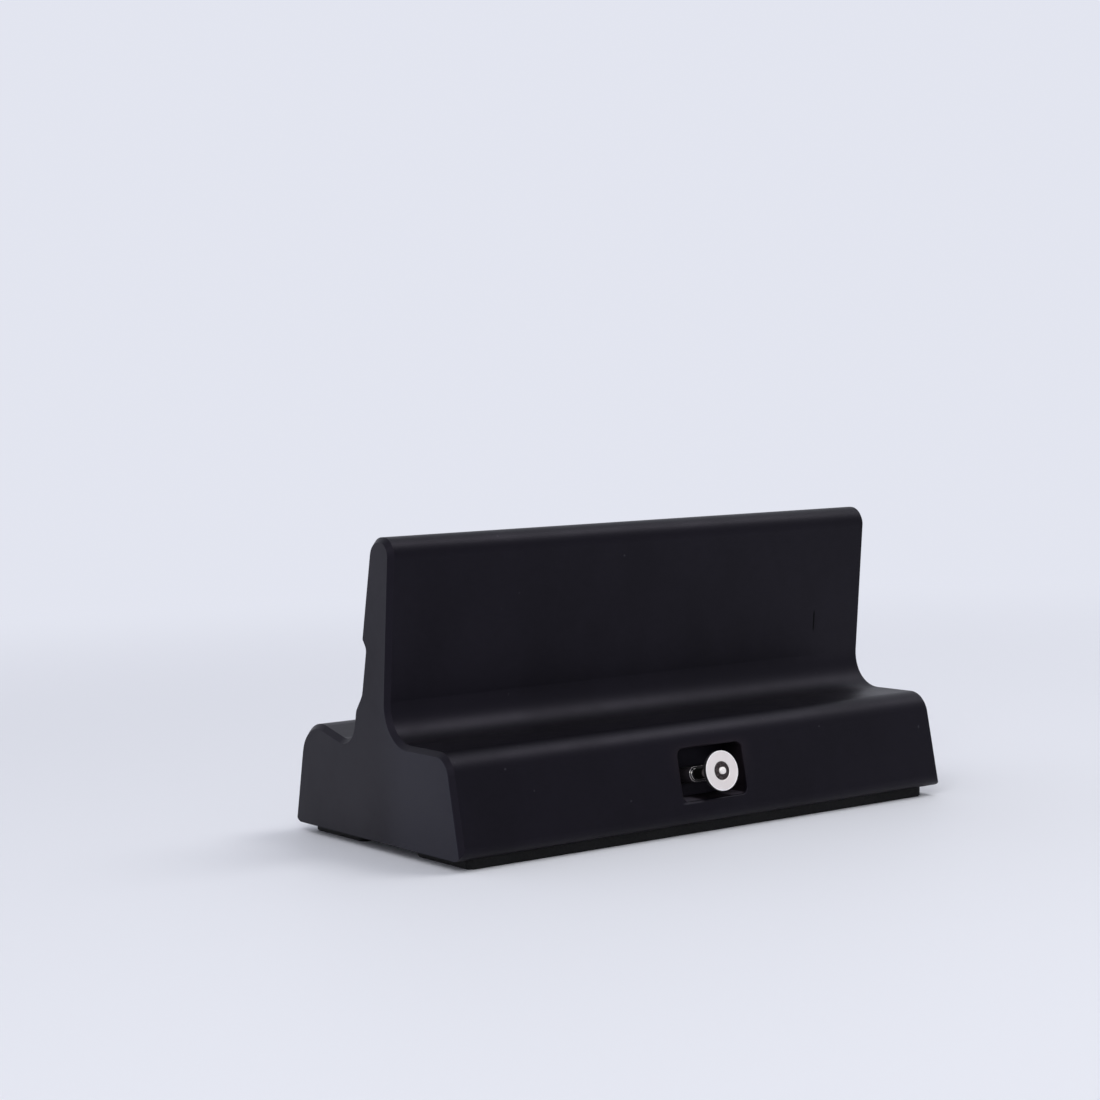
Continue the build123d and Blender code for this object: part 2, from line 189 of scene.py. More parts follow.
class Shader(NodeKit):
    """A material of one Principled surface, with the patterns that the finishes share."""

    def __init__(self, name: str) -> None:
        """Starts the material."""
        self.material = bpy.data.materials.new(name)
        self.material.use_nodes = True
        super().__init__(self.material.node_tree)
        self.surface = self.tree.nodes["Principled BSDF"]

    def set(self, **values: object) -> None:
        """Sets sockets of the surface that are the same all over, by name with _ for a space."""
        for key, value in values.items():
            self.surface.inputs[key.replace("_", " ")].default_value = value

    def place(self, scale: Place = (1.0, 1.0, 1.0), frame_of: Optional[Matrix] = None) -> Socket:
        """Object coordinates, stretched, or taken into the frame of a piece.

        Args:
            scale: factor along each axis.
            frame_of: a frame whose inverse is applied before the stretch.

        Returns:
            The vector socket.
        """
        coordinates = self.node("TexCoord").outputs["Object"]
        if frame_of is not None:
            moved = self.node("Mapping", vector_type="TEXTURE")
            moved.inputs["Location"].default_value = frame_of.to_translation()
            moved.inputs["Rotation"].default_value = frame_of.to_euler()
            self.link(coordinates, moved.inputs["Vector"])
            coordinates = moved.outputs["Vector"]
        stretched = self.node("Mapping")
        stretched.inputs["Scale"].default_value = scale
        self.link(coordinates, stretched.inputs["Vector"])
        return stretched.outputs["Vector"]

    def noise(self, vector: Socket, scale: float, detail: float = 2.0, rough: float = 0.5) -> Socket:
        """A noise value from 0 to 1, with its scale in cells per metre."""
        made = self.node("TexNoise")
        made.inputs["Scale"].default_value = scale
        made.inputs["Detail"].default_value = detail
        made.inputs["Roughness"].default_value = rough
        self.link(vector, made.inputs["Vector"])
        return made.outputs["Fac"]

    def deep(self, depth: float, soft: float = 1.3) -> Socket:
        """Mask that turns from 0 to 1 under the contact tip's face.

        Args:
            depth: depth down to which it is 0.
            soft: factor on that depth at which it is 1.

        Returns:
            The mask's socket.
        """
        split = self.node("SeparateXYZ")
        self.link(self.place(frame_of=tip_frame()), split.inputs[0])
        return self.spread(split.outputs["Z"], (1.0, 0.0), (-soft * depth, -depth))

    def relief(self, height: Socket, depth: float) -> None:
        """Bumps the surface by a height from 0 to 1 times a depth in metres."""
        made = self.node("Bump")
        made.inputs["Distance"].default_value = depth
        self.link(height, made.inputs["Height"])
        self.link(made.outputs["Normal"], self.surface.inputs["Normal"])

    def paint(self, colour: Socket, rough: Optional[Socket] = None) -> None:
        """Links a colour, and where given a roughness, to the surface."""
        self.link(colour, self.surface.inputs["Base Color"])
        if rough is not None:
            self.link(rough, self.surface.inputs["Roughness"])


# Finishes

@dataclass(frozen=True)
class Finish:
    """A finish that can make its material.

    Attributes:
        name: name of the material.
    """

    name: str

    def material(self) -> bpy.types.Material:
        """Makes the finish's material."""
        raise NotImplementedError


@dataclass(frozen=True)
class Patch:
    """A soft-edged box in which a surface takes another colour.

    Attributes:
        middle: its middle in the row frame.
        reach: how far it goes from the middle along each axis.
        colour: the colour inside it.
    """

    middle: Place
    reach: Place
    colour: Colour

    def mask(self, shader: Shader) -> Socket:
        """Makes a mask that is 1 within half the reach along each axis, and 0 past the reach."""
        split = shader.node("SeparateXYZ")
        shader.link(shader.place(), split.inputs[0])
        inside = []
        for along, middle, reach in zip(split.outputs, self.middle, self.reach):
            away = shader.math("ABSOLUTE", shader.math("SUBTRACT", along, middle))
            inside.append(shader.spread(away, (1.0, 0.0), (reach * 0.5, reach)))
        return shader.math("MULTIPLY", shader.math("MULTIPLY", inside[0], inside[1]), inside[2])


@dataclass(frozen=True)
class SoftTouch(Finish):
    """Soft-touch moulded plastic: near-black, finely grained, with faint hand smudges and dust.

    The smudges are a wide noise that changes the colour and roughness together, the grain is a fine
    bump, the dust is the peaks of a sparse fine noise, and the scuff is a thin upright mark with no
    gloss. Boxes of paler colour paint light and a highlight in the recess and on the near end face,
    two of them also dust.
    """

    dark: Colour
    light: Colour
    rough: Band
    gloss: float
    tint: Colour = (0.865, 0.79, 1.0)
    smudge_scale: float = 55.0
    smudge_stretch: Place = (1.0, 1.0, 0.55)
    smudge_band: Band = (0.42, 0.82)
    mottle_scale: float = 495.0
    mottle_share: float = 0.25
    grain_scale: float = 5200.0
    grain_depth: float = 0.016 * MM
    dust_scale: float = 900.0
    dust_band: Band = (0.865, 0.9)
    dust_share: float = 0.4
    dust_colour: Colour = (0.05, 0.048, 0.055)
    # Boxes of colour, most of them painted light or highlight, two of them also dust.
    dust_and_painted_light: tuple[Patch, ...] = ()
    scuff: Optional[Patch] = None

    def material(self) -> bpy.types.Material:
        """Makes the plastic's material."""
        shader = Shader(self.name)
        shader.set(Specular_IOR_Level=self.gloss, Specular_Tint=(*self.tint, 1.0))
        smudge = shader.noise(shader.place(self.smudge_stretch), self.smudge_scale, detail=3.0, rough=0.55)
        mottle = shader.noise(shader.place(), self.mottle_scale)
        cloud = shader.math("ADD", smudge, shader.math("MULTIPLY", mottle, self.mottle_share))
        colour = shader.mix(shader.spread(cloud, band=self.smudge_band), self.dark, self.light)
        specks = shader.noise(shader.place(), self.dust_scale, detail=0.0)
        dusty = shader.spread(specks, (0.0, self.dust_share), self.dust_band)
        colour = shader.mix(dusty, colour, self.dust_colour)
        # Lays each box's colour: painted light and highlight, partly dust.
        for lit_patch in self.dust_and_painted_light:
            colour = shader.mix(lit_patch.mask(shader), colour, lit_patch.colour)
        if self.scuff is not None:
            mark = self.scuff.mask(shader)
            colour = shader.mix(mark, colour, self.scuff.colour)
            dulled = shader.mix(mark, self.tint, self.scuff.colour)
            shader.link(dulled, shader.surface.inputs["Specular Tint"])
        shader.paint(colour, shader.spread(cloud, self.rough[::-1], self.smudge_band))
        grain = shader.noise(shader.place(), self.grain_scale, detail=1.0)
        shader.relief(grain, self.grain_depth)
        return shader.material


@dataclass(frozen=True)
class SheetRubber(Finish):
    """Plain black rubber: dull, with a fine open grain and a little paper dust."""

    dark: Colour
    light: Colour
    rough: float = 0.72
    rough_swing: float = 0.08
    gloss: float = 0.22
    grain_scale: float = 2600.0
    grain_depth: float = 0.03 * MM
    dust_scale: float = 120.0

    def material(self) -> bpy.types.Material:
        """Makes the rubber's material."""
        shader = Shader(self.name)
        shader.set(Specular_IOR_Level=self.gloss)
        grain = shader.noise(shader.place(), self.grain_scale)
        wide = shader.noise(shader.place(), self.dust_scale)
        rough = shader.spread(grain, (self.rough - self.rough_swing, self.rough + self.rough_swing))
        shader.paint(shader.mix(shader.spread(wide), self.dark, self.light), rough)
        shader.relief(grain, self.grain_depth)
        return shader.material


@dataclass(frozen=True)
class PlatedMetal(Finish):
    """Plated metal: brushed along one way, or turned in fine rings round the contact tip's axis.

    Brushing is a noise that is stretched along X. Turned rings are a noise over the distance from
    the tip's axis, the same all the way round. Either sets the roughness and a slight bump, a wide
    noise stains the colour, and a depth under the tip's face can be set past which it is painted
    dark, as painted shade.
    """

    colour: Colour
    stain: Colour
    rough: float
    rough_swing: float = 0.06
    stain_scale: float = 240.0
    stain_band: Band = (0.4, 0.75)
    brush: Place = (1.0, 8.0, 8.0)
    brush_scale: float = 900.0
    ring_scale: Optional[float] = None
    depth: float = 0.004 * MM
    metal: float = 1.0
    painted_shade_below: Optional[float] = None
    painted_shade_colour: Colour = (0.02, 0.019, 0.02)

    def material(self) -> bpy.types.Material:
        """Makes the metal's material."""
        shader = Shader(self.name)
        shader.set(Metallic=self.metal)
        wide = shader.noise(shader.place(), self.stain_scale, detail=3.0)
        colour = shader.mix(shader.spread(wide, band=self.stain_band), self.colour, self.stain)
        # Painted shade: darker colour past a depth under the tip's face.
        if self.painted_shade_below is not None:
            colour = shader.mix(shader.deep(self.painted_shade_below), colour, self.painted_shade_colour)
        lines = self.lines(shader)
        rough = shader.spread(lines, (self.rough - self.rough_swing, self.rough + self.rough_swing))
        shader.paint(colour, rough)
        shader.relief(lines, self.depth)
        return shader.material

    def lines(self, shader: Shader) -> Socket:
        """Noise along the brushing, or of the distance from the tip's axis so that it runs in rings."""
        if self.ring_scale is None:
            return shader.noise(shader.place(self.brush), self.brush_scale)
        made = shader.node("TexNoise", noise_dimensions="1D")
        made.inputs["Scale"].default_value = self.ring_scale
        away = shader.length(shader.place((1.0, 1.0, 0.0), tip_frame()))
        shader.link(away, made.inputs["W"])
        return made.outputs["Fac"]


@dataclass(frozen=True)
class MouldedResin(Finish):
    """Hard moulded resin or lacquer: fine mottle, a set gloss and a light orange-peel skin.

    A depth under the contact tip's face can be set past which it is painted black, as painted shade.
    """

    dark: Colour
    light: Colour
    rough: float
    rough_swing: float = 0.05
    mottle_scale: float = 700.0
    depth: float = 0.008 * MM
    gloss: float = 0.4
    painted_shade_below: Optional[float] = None
    painted_shade_colour: Colour = (0.003, 0.003, 0.003)

    def material(self) -> bpy.types.Material:
        """Makes the resin's material."""
        shader = Shader(self.name)
        shader.set(Specular_IOR_Level=self.gloss)
        mottle = shader.noise(shader.place(), self.mottle_scale, detail=3.0)
        colour = shader.mix(shader.spread(mottle), self.dark, self.light)
        # Painted shade: darker colour past a depth under the tip's face.
        if self.painted_shade_below is not None:
            colour = shader.mix(shader.deep(self.painted_shade_below), colour, self.painted_shade_colour)
        rough = shader.spread(mottle, (self.rough - self.rough_swing, self.rough + self.rough_swing))
        shader.paint(colour, rough)
        shader.relief(mottle, self.depth)
        return shader.material


@dataclass(frozen=True)
class StripedFilm(Finish):
    """Ribbon film: pale plastic with evenly spaced tinned lines that run along it."""

    film: Colour
    line: Colour
    pitch: float = 0.5 * MM
    line_band: Band = (0.45, 0.6)
    line_depth: float = 0.02 * MM
    rough: Band = (0.42, 0.3)
    gloss: float = 0.45

    def material(self) -> bpy.types.Material:
        """Makes the film's material, striped by a wave across X whose scale is pi over ten pitches."""
        shader = Shader(self.name)
        shader.set(Specular_IOR_Level=self.gloss)
        wave = shader.node("TexWave", bands_direction="X")
        wave.inputs["Scale"].default_value = math.pi / (10.0 * self.pitch)
        shader.link(shader.place(), wave.inputs["Vector"])
        stripe = shader.spread(wave.outputs["Fac"], band=self.line_band)
        rough = shader.spread(stripe, self.rough, (0.0, 1.0))
        shader.paint(shader.mix(stripe, self.film, self.line), rough)
        shader.relief(stripe, self.line_depth)
        return shader.material


TIP = tip_frame().to_translation()
# Painted light: paler colour over the recess walls, lifting their shade.
RECESS_PAINTED_LIGHT = Patch(beside(TIP, 0.0, -5.479, -0.539), mm(11.0, 3.5, 7.0), (0.014, 0.0105, 0.0125))
# Two paler patches on the recess floor, left and right of the tip: partly dust, partly painted light, with
# the gap between them standing for the tip's shadow.
RECESS_DUST_AND_LIGHT_LEFT = Patch(beside(TIP, 5.6, -4.879, -5.509), mm(3.4, 2.9, 0.3), (0.1, 0.09, 0.11))
RECESS_DUST_AND_LIGHT_RIGHT = Patch(beside(TIP, -6.4, -4.579, -5.509), mm(2.6, 2.6, 0.3), (0.075, 0.065, 0.08))
# Painted highlight: a paler line along the lower lip of the recess's mouth.
RECESS_LIP_HIGHLIGHT = Patch(beside(TIP, 5.6, -1.759, -5.699), mm(3.0, 0.5, 0.26), (0.03, 0.028, 0.033))
LOW, HIGH = cad_box
END_FOOT = (HIGH[0], HIGH[1], LOW[2])
# Painted light: paler, bluer colour on the near end face, for the light that falls on that side.
END_FACE_PAINTED_LIGHT = Patch(beside(END_FOOT, 0.2, -4.185, 12.0), mm(0.36, 28.0, 26.0), (0.0105, 0.0105, 0.0155))
FAR_TOP = (LOW[0], HIGH[1], HIGH[2])
SCUFF = Patch(beside(FAR_TOP, 13.35, -25.085, -23.35), mm(0.25, 2.0, 2.6), BLACK)

SOFT_TOUCH = SoftTouch(
    "soft_touch_shell", (0.0015, 0.0012, 0.0025), (0.0030, 0.0025, 0.0046), (0.42, 0.48), 0.182,
    dust_and_painted_light=(RECESS_PAINTED_LIGHT, RECESS_DUST_AND_LIGHT_LEFT, RECESS_DUST_AND_LIGHT_RIGHT, RECESS_LIP_HIGHLIGHT, END_FACE_PAINTED_LIGHT), scuff=SCUFF,
)
COVER_PLASTIC = SoftTouch(
    "grained_cover", (0.0062, 0.0058, 0.0072), (0.009, 0.0085, 0.0105), (0.5, 0.58), 0.2
)
FOOT_RUBBER = SheetRubber("foot_rubber", (0.0035, 0.0035, 0.0038), (0.0058, 0.0057, 0.006))
COLLAR_RUBBER = SheetRubber("collar_rubber", (0.0055, 0.005, 0.0062), (0.0082, 0.0076, 0.009), 0.6)
ZINC = PlatedMetal("zinc_screw", (0.56, 0.56, 0.57), (0.5, 0.49, 0.46), 0.34)
NICKEL = PlatedMetal("drawn_nickel", (0.64, 0.62, 0.6), (0.56, 0.53, 0.5), 0.2)
POLISHED = PlatedMetal("polished_edge", (0.78, 0.76, 0.74), (0.72, 0.7, 0.67), 0.1)
# Its side, past 0.1 mm under the face, is painted dark: a painted shade.
DISC = PlatedMetal(
    "satin_disc", (0.91, 0.85, 0.82), (0.88, 0.815, 0.785), 0.4,
    ring_scale=8800.0, metal=0.25, painted_shade_below=0.1 * MM,
)
BRIGHT_PIN = PlatedMetal(
    "bright_pin", (1.0, 0.95, 0.91), (0.98, 0.92, 0.88), 0.25, ring_scale=12000.0, metal=0.2
)
# Painted highlight: near-white, dull colour for the bright line round the disc's edge.
HIGHLIGHT_RIM = PlatedMetal("painted_highlight_rim", (1.0, 0.97, 0.96), (0.99, 0.95, 0.94), 0.3, metal=0.0)
GOLD = PlatedMetal("gold_contact", (0.9, 0.66, 0.3), (0.82, 0.58, 0.27), 0.24)
EYE_BLACK = MouldedResin(
    "eye_black", (0.028, 0.019, 0.019), (0.042, 0.03, 0.03), 0.26, mottle_scale=1800.0
)
# Past 1.6 mm under the tip's face it is painted black: painted shade on the neck's deeper half.
CARRIER = MouldedResin(
    "carrier_grey", (0.085, 0.071, 0.07), (0.115, 0.1, 0.099), 0.75, gloss=0.02, painted_shade_below=1.6 * MM
)
BLACKENED = MouldedResin("blackened_shell", (0.02, 0.017, 0.02), (0.032, 0.027, 0.032), 0.5)
CONNECTOR_RESIN = MouldedResin("connector_resin", (0.005, 0.005, 0.0056), (0.009, 0.009, 0.0096), 0.38)
CHIP_RESIN = MouldedResin(
    "chip_resin", (0.007, 0.007, 0.0075), (0.014, 0.014, 0.015), 0.5, mottle_scale=2400.0
)
BOARD_MASK = MouldedResin(
    "board_mask", (0.004, 0.026, 0.013), (0.007, 0.04, 0.02), 0.3, mottle_scale=420.0
)
RIBBON = StripedFilm("ribbon_film", (0.72, 0.7, 0.66), (0.5, 0.47, 0.42))


class Palette:
    """The materials that exist so far, one for each finish."""

    def __init__(self) -> None:
        """Starts with none."""
        self.made: dict[Finish, bpy.types.Material] = {}

    def material(self, finish: Finish) -> bpy.types.Material:
        """Gives a finish's material, which is made the first time it is asked for."""
        if finish not in self.made:
            self.made[finish] = finish.material()
        return self.made[finish]


# Meshes

def grid_object(name: str, points: np.ndarray, wrap: tuple[bool, bool]) -> bpy.types.Object:
    """A smooth mesh through a grid of points, with quads between neighbours.

    Args:
        name: name of the object.
        points: array of rows by columns by 3, in metres in the row frame.
        wrap: whether the rows and the columns close on themselves.

    Returns:
        The linked object, at the origin.
    """
    rows, columns = points.shape[:2]
    index = np.arange(rows * columns).reshape(rows, columns)
    down = np.roll(index, -1, 0) if wrap[0] else index[1:]
    here = index if wrap[0] else index[:-1]
    if wrap[1]:
        right_here, right_down = np.roll(here, -1, 1), np.roll(down, -1, 1)
    else:
        here, right_here = here[:, :-1], here[:, 1:]
        down, right_down = down[:, :-1], down[:, 1:]
    quads = np.stack([here, right_here, right_down, down], -1).reshape(-1, 4)
    mesh = bpy.data.meshes.new(name)
    mesh.vertices.add(rows * columns)
    mesh.vertices.foreach_set("co", points.reshape(-1).astype(np.float32))
    mesh.loops.add(quads.size)
    mesh.loops.foreach_set("vertex_index", quads.reshape(-1).astype(np.int32))
    mesh.polygons.add(len(quads))
    mesh.polygons.foreach_set("loop_start", np.arange(0, quads.size, 4, dtype=np.int32))
    mesh.polygons.foreach_set("use_smooth", np.ones(len(quads), bool))
    mesh.update(calc_edges=True)
    mesh.validate()
    made = bpy.data.objects.new(name, mesh)
    bpy.context.scene.collection.objects.link(made)
    return made


def at_tip(local: np.ndarray) -> np.ndarray:
    """Takes points from the contact tip's frame, with the tip's axis as Z, to the row frame."""
    place = np.array(tip_frame())
    return local @ place[:3, :3].T + place[:3, 3]


def full_turn(count: int) -> np.ndarray:
    """Angles all the way round, evenly spaced."""
    return np.linspace(0.0, 2 * math.pi, count, endpoint=False)


def oval_path(width: float, thickness: float, count: int) -> tuple[np.ndarray, np.ndarray]:
    """A round-ended oval in a plane: two half circles joined by straight runs.

    Args:
        width: overall width along the first axis.
        thickness: overall thickness, which is the half circles' diameter.
        count: points on each half circle.

    Returns:
        Points and outward directions, each an array of rows by 2.
    """
    half_turn = np.linspace(-math.pi / 2, math.pi / 2, count)
    turn = np.concatenate([half_turn, half_turn + math.pi])
    out = np.stack([np.cos(turn), np.sin(turn)], -1)
    middle = np.zeros_like(out)
    middle[:, 0] = np.where(np.arange(2 * count) < count, 1.0, -1.0) * (width - thickness) / 2
    return middle + out * thickness / 2, out


@dataclass(frozen=True)
class OvalBead:
    """A bead round an oval under the contact tip's face.

    Attributes:
        name: name of the piece.
        width: overall width of the oval.
        thickness: overall thickness of the oval.
        depth: depth of the bead's middle under the tip's face.
        edge: largest radius of the bead.
        thin: share of that radius at the straight runs.
        arc_points: points on each of the oval's half circles.
        tube_points: points round the bead.
    """

    name: str
    width: float
    thickness: float
    depth: float
    edge: float
    thin: float = 0.15
    arc_points: int = 32
    tube_points: int = 12

    def build(self) -> bpy.types.Object:
        """Carries a circle round the oval, full at the round ends and thin between.

        Its radius is a share of the edge at the straight runs, and grows to the whole edge as the
        outward direction turns along the oval's width.

        Returns:
            The linked object.
        """
        inner = self.width - 2 * self.edge, self.thickness - 2 * self.edge
        path, out = oval_path(*inner, self.arc_points)
        turn = full_turn(self.tube_points)
        radius = self.edge * (self.thin + (1.0 - self.thin) * np.abs(out[:, :1]))
        wide = path[:, None, :] + out[:, None, :] * (np.cos(turn) * radius)[..., None]
        local = np.concatenate([wide, (np.sin(turn) * radius - self.depth)[..., None]], -1)
        return grid_object(self.name, at_tip(local), (True, True))


# Sub-assemblies

@dataclass
class SubAssembly:
    """Some nodes of the frame, the finish of each, and the trim that is added to them."""

    finishes: dict[str, Finish] = field(default_factory=dict)

    def dress(self, palette: Palette) -> None:
        """Puts each node's finish in its material slots."""
        for name, finish in self.finishes.items():
            materials = frame["nodes"][name].data.materials
            materials.clear()
            materials.append(palette.material(finish))
            log.info("%s dressed in %s", name, finish.name)

    def build(self, palette: Palette) -> list[bpy.types.Object]:
        """Adds the trim; most sub-assemblies have none."""
        return []

    def add(self, piece: bpy.types.Object, finish: Finish, slot: Slot, palette: Palette) -> None:
        """Gives a new piece its finish and its body.

        Args:
            piece: the new piece.
            finish: its finish.
            slot: its slot in the record; not used.
            palette: the materials made so far.
        """
        piece.data.materials.append(palette.material(finish))
        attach(piece, "root")
        log.info("%s added in %s", piece.name, finish.name)


@dataclass
class Housing(SubAssembly):
    """Shell, cover, foot strips and the screws that hold the cover."""

    finishes: dict[str, Finish] = field(
        default_factory=lambda: {
            "upper_shell": SOFT_TOUCH,
            "bottom_cover": COVER_PLASTIC,
            "front_foot_strip": FOOT_RUBBER,
            "rear_foot_strip": FOOT_RUBBER,
            "cover_screws": ZINC,
        }
    )


@dataclass
class PowerInlet(SubAssembly):
    """Inlet at the back with the board behind it; its mouth gets a rolled edge.

    Attributes:
        width: overall width of the inlet's shell.
        thickness: overall thickness of the inlet's shell.
        mouth_depth: depth of its mouth under the tip's face, along the tip's axis.
        edge: radius of the rolled edge.
    """

    width: float = 8.94 * MM
    thickness: float = 3.06 * MM
    mouth_depth: float = 4.55 * MM
    edge: float = 0.085 * MM
    finishes: dict[str, Finish] = field(
        default_factory=lambda: {
            "inlet_shell": BLACKENED,
            "inlet_tongue": CONNECTOR_RESIN,
            "inlet_contacts": GOLD,
            "inlet_board": BOARD_MASK,
            "inlet_board_screws": ZINC,
            "inlet_board_chips": CHIP_RESIN,
        }
    )

    def build(self, palette: Palette) -> list[bpy.types.Object]:
        """Adds the rolled edge, whose bead stands on the middle of the shell's wall."""
        sizes = self.width, self.thickness, self.mouth_depth, self.edge
        edge = OvalBead("inlet_rolled_edge", *sizes).build()
        self.add(edge, POLISHED, Slot.NICKEL, palette)
        return [edge]


@dataclass
class ContactTip(SubAssembly):
    """Round contact tip that stands in the inlet: a domed pin, a rimmed face and a bead on its plug.

    Attributes:
        face: diameter of the tip's face.
        rim: radius of the pale rim round the face.
        rim_sink: depth of the rim's middle under the face.
        plug_width: overall width of the plug's shell.
        plug_thickness: overall thickness of the plug's shell.
        root_depth: depth of the plug's root under the tip's face.
        bead: radius of the bead round the plug's root.
        pin_radius: radius of the pin.
        pin_proud: how far the pin stands out of the tip's face.
        dome: height of the pin's dome.
        dome_rings: rings of points on the dome.
        dome_points: points round each ring.
    """

    face: float = 7.72 * MM
    # rim: radius of the near-white rim round the face, whose colour is a painted highlight.
    rim: float = 0.1 * MM
    rim_sink: float = 0.04 * MM
    plug_width: float = 8.25 * MM
    plug_thickness: float = 2.4 * MM
    root_depth: float = 4.40 * MM
    bead: float = 0.075 * MM
    pin_radius: float = 0.69 * MM
    pin_proud: float = 0.3 * MM
    dome: float = 0.3 * MM
    dome_rings: int = 10
    dome_points: int = 40
    finishes: dict[str, Finish] = field(
        default_factory=lambda: {
            "tip_ring": DISC,
            "tip_eye": EYE_BLACK,
            "tip_centre_pin": BRIGHT_PIN,
            "tip_body": CARRIER,
            "tip_plug_shell": NICKEL,
            "tip_plug_insert": CONNECTOR_RESIN,
            "tip_plug_contacts": GOLD,
        }
    )

    def build(self, palette: Palette) -> list[bpy.types.Object]:
        """Adds the bead round the plug's root, the pin's dome and the face's even rim, a painted
        highlight.
        """
        sizes = self.plug_width, self.plug_thickness, self.root_depth, self.bead
        bead = OvalBead("tip_plug_bead", *sizes).build()
        dome = self.make_dome()
        # The rim's near-white colour is a painted highlight round the face.
        rim = OvalBead("tip_painted_highlight_rim", self.face, self.face, self.rim_sink, self.rim, thin=1.0).build()
        self.add(bead, POLISHED, Slot.NICKEL, palette)
        self.add(dome, BRIGHT_PIN, Slot.PIN, palette)
        self.add(rim, HIGHLIGHT_RIM, Slot.DISC, palette)
        return [bead, dome, rim]

    def make_dome(self) -> bpy.types.Object:
        """Makes the dome, a quarter ellipse that is turned round the tip's axis."""
        rise = np.linspace(0.0, math.pi / 2, self.dome_rings)
        turn = full_turn(self.dome_points)
        reach = self.pin_radius * np.sin(rise)
        high = np.repeat(self.pin_proud + self.dome * np.cos(rise), self.dome_points)
        flat = [np.outer(reach, np.cos(turn)), np.outer(reach, np.sin(turn))]
        points = np.stack([*flat, high.reshape(flat[0].shape)], -1)
        return grid_object("tip_pin_dome", at_tip(points), (False, True))


@dataclass
class CradlePlug(SubAssembly):
    """Plug in the cradle, its collar and its board, and the ribbon to the other board."""

    finishes: dict[str, Finish] = field(
        default_factory=lambda: {
            "cradle_plug_shell": NICKEL,
            "cradle_plug_insert": CONNECTOR_RESIN,
            "cradle_plug_contacts": GOLD,
            "cradle_plug_collar": COLLAR_RUBBER,
            "plug_board": BOARD_MASK,
            "plug_board_screws": ZINC,
            "ribbon_sockets": CHIP_RESIN,
            "link_ribbon": RIBBON,
        }
    )


# Studio

@dataclass(frozen=True)
class Softbox:
    """A soft rectangular lamp that faces a point.

    Attributes:
        name: name of the lamp.
        place: middle of its face, in metres.
        size: width and height of its face.
        radiance: brightness of its face, where 1 is white.
        colour: tint of its light.
        aim: point that it faces.
    """

    name: str
    place: Place
    size: tuple[float, float]
    radiance: float
    colour: Colour = (1.0, 1.0, 1.0)
    aim: Place = (0.0, 0.0, 0.03)

    def build(self) -> None:
        """Makes the lamp; a flat lamp's power is pi times its radiance and area."""
        lamp = bpy.data.lights.new(self.name, "AREA")
        lamp.shape = "RECTANGLE"
        lamp.size, lamp.size_y = self.size
        lamp.energy = math.pi * self.radiance * self.size[0] * self.size[1]
        lamp.color = self.colour
        made = bpy.data.objects.new(self.name, lamp)
        made.location = self.place
        toward = Vector(self.aim) - Vector(self.place)
        made.rotation_euler = toward.to_track_quat("-Z", "Y").to_euler()
        made.visible_camera = False
        bpy.context.scene.collection.objects.link(made)


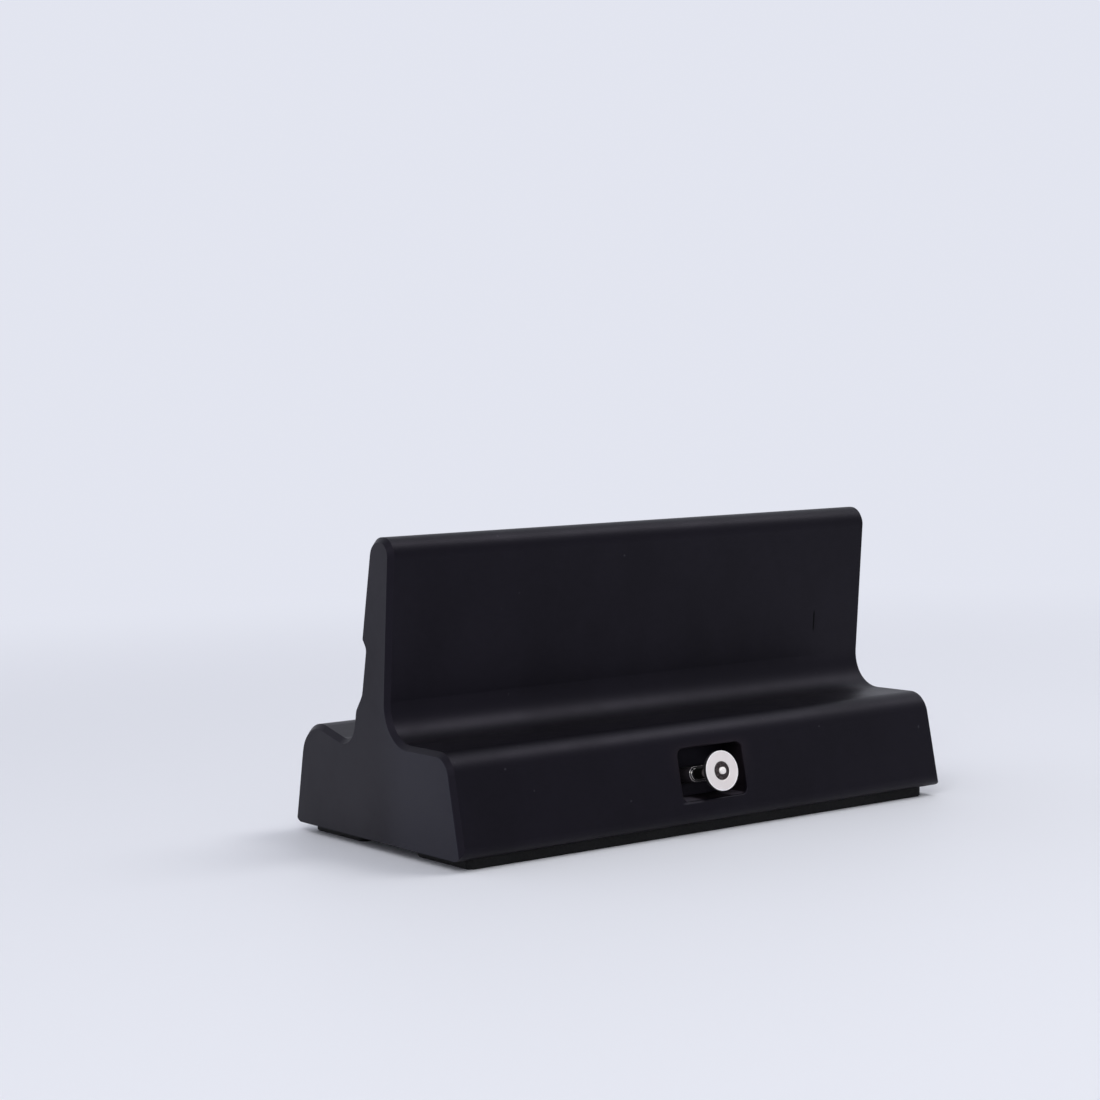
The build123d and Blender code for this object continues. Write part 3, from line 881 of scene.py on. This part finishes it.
@dataclass
class Studio:
    """Pale floor and background, soft lamps, and the camera.

    Attributes:
        lens: focal length in millimetres.
        sensor: width of the frame in millimetres.
        clip: nearest and farthest distance that the camera shows.
        place: the camera's place in metres.
        yaw: the camera's bearing round the dock in degrees, 0 in front of it.
        pitch: how far it looks down, in degrees.
        roll: its turn about its own axis, in degrees.
        pale: colour of the background.
        ambient: share of the background that lights dull surfaces.
        dim_way: direction of the room's unlit side, behind the camera.
        dim_band: cosines of the angle from that direction at which the dimming starts and is full.
        dim_share: share of the background's light that comes from there.
        floor_colour: colour of the floor.
        floor_patchy: share of that colour in the floor's faint darker patches.
        floor_patch_scale: patches of the floor per metre.
        floor_rough: roughness of the floor.
        floor_gloss: specular level of the floor.
        floor_radii: radius of the floor's first ring and of its edge.
        floor_grid: rings of the floor, and points round each.
        floor_drop: how far the floor lies under the foot strips.
        fade: distances at which the floor starts to fade into the background and has faded.
        lamps: the lamps.
    """

    lens: float = 75.8133
    sensor: float = 36.0
    clip: Band = (0.01, 50.0)
    place: Place = (0.278044, 0.372580, 0.081961)
    yaw: float = 145.0159
    pitch: float = 3.4724
    roll: float = -1.7223
    pale: Colour = (0.765, 0.785, 0.87)
    ambient: float = 0.76
    dim_way: Place = (-0.5, 0.85, 0.12)
    dim_band: Band = (0.2, 0.9)
    dim_share: float = 0.62
    floor_colour: Colour = (0.85, 0.857, 0.888)
    floor_patchy: float = 0.985
    floor_patch_scale: float = 3.0
    floor_rough: float = 0.6
    floor_gloss: float = 0.15
    floor_radii: Band = (0.1, 8.0)
    floor_grid: tuple[int, int] = (24, 64)
    floor_drop: float = 0.02 * MM
    fade: Band = (0.12, 0.58)
    lamps: tuple[Softbox, ...] = (
        Softbox("overhead_softbox", (-0.43, 0.24, 0.78), (0.42, 0.4), 3.9),
        Softbox("left_panel", (0.70, -0.85, 0.22), (0.9, 0.45), 0.55, (0.88, 0.86, 1.0)),
        Softbox("key_softbox", (0.55, 0.56, 0.66), (0.55, 0.5), 3.3),
    )

    def build(self) -> None:
        """Makes the whole studio."""
        self.make_camera()
        self.make_world()
        self.make_floor()
        for lamp in self.lamps:
            lamp.build()
        bpy.context.scene.view_settings.view_transform = "Standard"
        log.info("studio with %d lamps", len(self.lamps))

    def make_camera(self) -> None:
        """Makes the camera: back is out of the picture, and the roll turns right and up about it."""
        yaw, pitch, roll = (math.radians(a) for a in (self.yaw, self.pitch, self.roll))
        level = Vector((math.sin(yaw), -math.cos(yaw), 0.0)) * math.cos(pitch)
        back = level + Vector((0.0, 0.0, math.sin(pitch)))
        right = Vector((math.cos(yaw), math.sin(yaw), 0.0))
        up = back.cross(right)
        turned_right = right * math.cos(roll) + up * math.sin(roll)
        turned_up = up * math.cos(roll) - right * math.sin(roll)
        data = bpy.data.cameras.new("camera")
        data.lens, data.sensor_width, data.sensor_fit = self.lens, self.sensor, "HORIZONTAL"
        data.clip_start, data.clip_end = self.clip
        camera = bpy.data.objects.new("camera", data)
        turn = Matrix((turned_right, turned_up, back)).transposed().to_4x4()
        camera.matrix_world = Matrix.Translation(Vector(self.place)) @ turn
        bpy.context.scene.collection.objects.link(camera)
        bpy.context.scene.camera = camera

    def make_world(self) -> None:
        """Makes a pale world that shows in full, also in gloss and glass, and lights at a share.

        Its light is dimmed toward one side, by the angle from that side's direction, while the
        camera sees it plain all round.
        """
        world = bpy.data.worlds.new("studio")
        bpy.context.scene.world = world
        world.use_nodes = True
        kit = NodeKit(world.node_tree)
        path = kit.node("LightPath")
        seen = path.outputs["Is Camera Ray"]
        angle = kit.node("VectorMath", operation="DOT_PRODUCT")
        angle.inputs[1].default_value = Vector(self.dim_way).normalized()
        kit.link(kit.node("TexCoord").outputs["Generated"], angle.inputs[0])
        side = kit.spread(angle.outputs["Value"], band=self.dim_band)
        kit.link(kit.math("SUBTRACT", 1.0, seen), side.node.inputs["To Max"])
        tint = kit.mix(side, self.pale, tuple(self.dim_share * c for c in self.pale))
        shown, lit = kit.tree.nodes["Background"], kit.node("Background")
        lit.inputs["Strength"].default_value = self.ambient
        for background in (shown, lit):
            kit.link(tint, background.inputs["Color"])
        for kind in ("Is Glossy Ray", "Is Transmission Ray"):
            seen = kit.math("MAXIMUM", seen, path.outputs[kind])
        kit.join(seen, lit, shown, "World Output")

    def make_floor(self) -> None:
        """Makes a round floor, in rings that widen outward, that fades into the background."""
        rings, points_round = self.floor_grid
        reach = np.concatenate([[0.0], np.geomspace(*self.floor_radii, rings)])
        turn = full_turn(points_round)
        flat = [np.outer(reach, np.cos(turn)), np.outer(reach, np.sin(turn))]
        points = np.stack([*flat, np.full_like(flat[0], -self.floor_drop)], -1)
        floor = grid_object("floor", points, (False, True))
        shader = Shader("pale_floor")
        shader.set(Roughness=self.floor_rough, Specular_IOR_Level=self.floor_gloss)
        patchy = tuple(self.floor_patchy * c for c in self.floor_colour)
        patches = shader.noise(shader.place(), self.floor_patch_scale, detail=1.0)
        shader.paint(shader.mix(patches, self.floor_colour, patchy))
        glow = shader.node("Emission")
        glow.inputs["Color"].default_value = (*self.pale, 1.0)
        faded = shader.spread(shader.length(shader.place()), band=self.fade)
        shader.join(faded, shader.surface, glow, "Material Output")
        floor.data.materials.append(shader.material)


def main() -> None:
    """Builds each sub-assembly in order, then the studio."""
    logging.basicConfig(level=logging.INFO, format="%(name)s: %(message)s")
    palette = Palette()
    for part in (Housing(), PowerInlet(), ContactTip(), CradlePlug()):
        part.dress(palette)
        pieces = part.build(palette)
        log.info("%s: %d nodes, %d pieces added", type(part).__name__, len(part.finishes), len(pieces))
    Studio().build()


if __name__ == "__main__":
    main()
